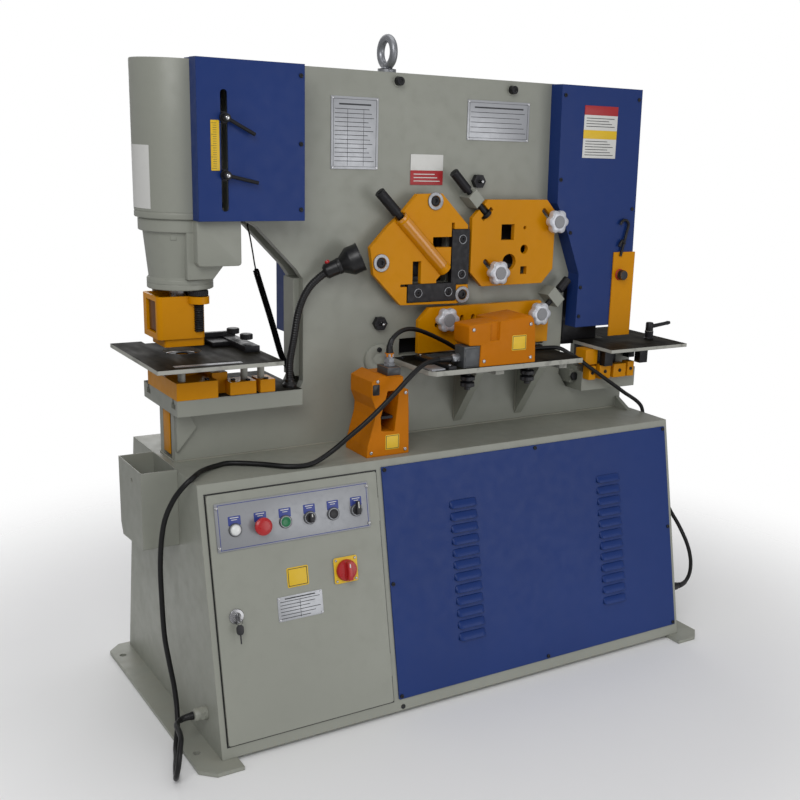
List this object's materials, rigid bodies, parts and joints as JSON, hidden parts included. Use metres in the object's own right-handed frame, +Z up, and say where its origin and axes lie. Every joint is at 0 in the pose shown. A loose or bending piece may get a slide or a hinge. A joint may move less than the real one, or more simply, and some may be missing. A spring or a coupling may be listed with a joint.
{
  "type": "ironworker machine",
  "caption": "Floor-standing hydraulic ironworker with punch, angle, section and flat-bar shears and notcher on a closed cabinet with control door, vent panel and foot pedals.",
  "frame": {"origin": "on the floor, centred between the four foundation bolt holes", "axes": "+Z up, +X along the front towards the notching end, -Y towards the operator"},
  "size_m": [1.7422, 0.795, 1.743],
  "materials": {
    "frame_paint": "satin",
    "blue_paint": "satin",
    "yellow_paint": "satin",
    "orange_paint": "satin",
    "machine_grey": "satin",
    "plate_steel": "satin",
    "white_lens": "gloss",
    "red_plastic": "gloss",
    "green_plastic": "gloss",
    "black_plastic": "satin",
    "chrome": "polished",
    "black_steel": "satin",
    "label_plate": "satin",
    "bright_steel": "satin",
    "dark_steel": "satin",
    "table_steel": "satin",
    "silver_knob": "satin",
    "lamp_black": "satin",
    "cord_rubber": "satin"
  },
  "bodies": {
    "frame": {"foot_bars": "frame_paint", "cabinet": "frame_paint", "power_pack": "machine_grey", "louvre_panel": "blue_paint", "side_tray": "frame_paint", "cable_stubs": "black_plastic", "machine_frame": "frame_paint", "rear_cover": "blue_paint", "frame_bolts": "black_steel", "name_plates": "label_plate", "left_cover": "blue_paint", "punch_head": "frame_paint", "punch_bed": "frame_paint", "die_holder": "yellow_paint", "punch_table": "table_steel", "angle_plate": "yellow_paint", "fixed_blades": "black_steel", "shear_table": "table_steel", "right_guard": "blue_paint", "notch_bed": "frame_paint", "notch_table": "table_steel", "work_lamp": "lamp_black", "pedal_a": "orange_paint", "pedal_b": "orange_paint", "cord_a": "cord_rubber", "cord_b": "cord_rubber", "coil_cord": "cord_rubber"},
    "door": {"cabinet_door": "frame_paint", "control_plate": "plate_steel", "signal_lamp": "white_lens"},
    "ram": {"punch_ram": "bright_steel"},
    "stripper": {"stripper_box": "yellow_paint"},
    "fence": {"punch_fence": "black_steel"},
    "beam": {"shear_beam": "dark_steel"},
    "stop_button": {"stop_button": "red_plastic"},
    "start_button": {"start_button": "green_plastic"},
    "jog_button": {"jog_button": "black_plastic"},
    "selector_left": {"selector_left": "black_plastic"},
    "selector_right": {"selector_right": "black_plastic"},
    "isolator_knob": {"isolator_knob": "red_plastic"},
    "door_lock": {"door_lock": "chrome"},
    "stop_slide_upper": {"stop_slide_upper": "black_steel"},
    "stop_lever_upper": {"stop_lever_upper": "black_plastic"},
    "stop_slide_lower": {"stop_slide_lower": "black_steel"},
    "stop_lever_lower": {"stop_lever_lower": "black_plastic"},
    "stripper_screw": {"stripper_screw": "black_steel"},
    "beam_rod": {"beam_rod": "bright_steel"},
    "angle_pad": {"angle_pad": "bright_steel"},
    "angle_handle": {"angle_handle": "black_plastic"},
    "section_plate": {"section_plate": "yellow_paint"},
    "section_screw": {"section_screw": "black_steel"},
    "section_knob_a": {"section_knob_a": "silver_knob"},
    "section_knob_b": {"section_knob_b": "silver_knob"},
    "flat_plate": {"flat_plate": "yellow_paint"},
    "flat_knob_a": {"flat_knob_a": "silver_knob"},
    "flat_knob_b": {"flat_knob_b": "silver_knob"},
    "guard_strip": {"guard_strip": "yellow_paint"},
    "notch_lever": {"notch_lever": "black_plastic"},
    "treadle_a": {"treadle_a": "black_steel"},
    "treadle_b": {"treadle_b": "black_steel"}
  },
  "joints": [
    {"name": "door_hinge", "type": "hinge", "parent": "frame", "child": "door", "pos_m": [-0.274, -0.30401, 0.34374], "axis": [0, 0.197, 0.9804], "range_deg": [0, 105]},
    {"name": "stop_press", "type": "slide", "parent": "door", "child": "stop_button", "axis": [0, 0.9804, -0.197], "range_m": [0, 0.006], "stiffness_N_per_m": 400, "springref_m": -0.004},
    {"name": "start_press", "type": "slide", "parent": "door", "child": "start_button", "axis": [0, 0.9804, -0.197], "range_m": [0, 0.004], "stiffness_N_per_m": 400, "springref_m": -0.004},
    {"name": "jog_press", "type": "slide", "parent": "door", "child": "jog_button", "axis": [0, 0.9804, -0.197], "range_m": [0, 0.004], "stiffness_N_per_m": 400, "springref_m": -0.004},
    {"name": "selector_left_turn", "type": "hinge", "parent": "door", "child": "selector_left", "pos_m": [-0.471, -0.27793, 0.55983], "axis": [0, 0.9804, -0.197], "range_deg": [-45, 45]},
    {"name": "selector_right_turn", "type": "hinge", "parent": "door", "child": "selector_right", "pos_m": [-0.34, -0.27793, 0.55983], "axis": [0, 0.9804, -0.197], "range_deg": [-45, 45]},
    {"name": "isolator_turn", "type": "hinge", "parent": "door", "child": "isolator_knob", "pos_m": [-0.384, -0.30728, 0.41375], "axis": [0, 0.9804, -0.197], "range_deg": [0, 90]},
    {"name": "lock_turn", "type": "hinge", "parent": "door", "child": "door_lock", "pos_m": [-0.684, -0.30753, 0.35158], "axis": [0, 0.9804, -0.197], "range_deg": [0, 90]},
    {"name": "upper_stop_slide", "type": "slide", "parent": "frame", "child": "stop_slide_upper", "axis": [0, 0, 1], "range_m": [-0.05, 0.045]},
    {"name": "upper_stop_lever", "type": "hinge", "parent": "stop_slide_upper", "child": "stop_lever_upper", "pos_m": [-0.6205, -0.136, 1.514], "axis": [0, 1, 0], "range_deg": [-80, 0]},
    {"name": "lower_stop_slide", "type": "slide", "parent": "frame", "child": "stop_slide_lower", "axis": [0, 0, 1], "range_m": [-0.06, 0.04]},
    {"name": "lower_stop_lever", "type": "hinge", "parent": "stop_slide_lower", "child": "stop_lever_lower", "pos_m": [-0.6205, -0.136, 1.384], "axis": [0, 1, 0], "range_deg": [0, 80]},
    {"name": "ram_stroke", "type": "slide", "parent": "frame", "child": "ram", "axis": [0, 0, -1], "range_m": [0, 0.055]},
    {"name": "stripper_height", "type": "slide", "parent": "frame", "child": "stripper", "axis": [0, 0, 1], "range_m": [-0.015, 0]},
    {"name": "stripper_screw_turn", "type": "hinge", "parent": "stripper", "child": "stripper_screw", "pos_m": [-0.66, -0.032, 1.05], "axis": [0, 0, 1], "continuous": true},
    {"name": "fence_slide", "type": "slide", "parent": "frame", "child": "fence", "axis": [0, 1, 0], "range_m": [0, 0.03]},
    {"name": "beam_swing", "type": "hinge", "parent": "frame", "child": "beam", "pos_m": [-0.154, 0.025, 0.893], "axis": [0, 1, 0], "range_deg": [0, 3.5]},
    {"name": "rod_stroke", "type": "slide", "parent": "frame", "child": "beam_rod", "axis": [0, 0, -1], "range_m": [0, 0.0435]},
    {"name": "angle_clamp", "type": "slide", "parent": "frame", "child": "angle_pad", "axis": [0.7071, 0, -0.7071], "range_m": [0, 0.016]},
    {"name": "angle_handle_turn", "type": "hinge", "parent": "angle_pad", "child": "angle_handle", "pos_m": [-0.129, -0.074, 1.292], "axis": [0.7071, 0, -0.7071], "range_deg": [0, 1440]},
    {"name": "section_shift", "type": "slide", "parent": "frame", "child": "section_plate", "axis": [0.7071, 0, -0.7071], "range_m": [0, 0.012]},
    {"name": "section_screw_turn", "type": "hinge", "parent": "section_plate", "child": "section_screw", "pos_m": [0.119, -0.066, 1.329], "axis": [0.7071, 0, -0.7071], "range_deg": [0, 1090]},
    {"name": "section_knob_a_turn", "type": "hinge", "parent": "frame", "child": "section_knob_a", "pos_m": [0.388, -0.09, 1.266], "axis": [0, 1, 0], "continuous": true},
    {"name": "section_knob_b_turn", "type": "hinge", "parent": "frame", "child": "section_knob_b", "pos_m": [0.19, -0.09, 1.126], "axis": [0, 1, 0], "continuous": true},
    {"name": "flat_shift", "type": "slide", "parent": "frame", "child": "flat_plate", "axis": [0.7071, 0, 0.7071], "range_m": [-0.006, 0.01]},
    {"name": "flat_knob_a_turn", "type": "hinge", "parent": "frame", "child": "flat_knob_a", "pos_m": [0.025, -0.09, 1.002], "axis": [0, 1, 0], "continuous": true},
    {"name": "flat_knob_b_turn", "type": "hinge", "parent": "frame", "child": "flat_knob_b", "pos_m": [0.343, -0.09, 1.002], "axis": [0, 1, 0], "continuous": true},
    {"name": "guard_strip_slide", "type": "slide", "parent": "frame", "child": "guard_strip", "axis": [0, 0, 1], "range_m": [-0.012, 0.06]},
    {"name": "notch_lever_turn", "type": "hinge", "parent": "frame", "child": "notch_lever", "pos_m": [0.776, -0.1, 0.93], "axis": [0, 0, 1], "range_deg": [-90, 90]},
    {"name": "treadle_a_press", "type": "hinge", "parent": "frame", "child": "treadle_a", "pos_m": [0.046, -0.196, 0.929], "axis": [0, 1, 0], "range_deg": [0, 5], "stiffness_Nm_per_rad": 12, "springref_deg": -14.32},
    {"name": "treadle_b_press", "type": "hinge", "parent": "frame", "child": "treadle_b", "pos_m": [-0.218, -0.108, 0.774], "axis": [1, 0, 0], "range_deg": [0, 8], "stiffness_Nm_per_rad": 4, "springref_deg": -11.46}
  ],
  "couplings": [
    {"joint": "rod_stroke", "follows": "beam_swing", "m_per_rad": 0.7},
    {"joint": "angle_handle_turn", "follows": "angle_clamp", "rad_per_m": 1570.8},
    {"joint": "section_screw_turn", "follows": "section_shift", "rad_per_m": 1570.8}
  ]
}
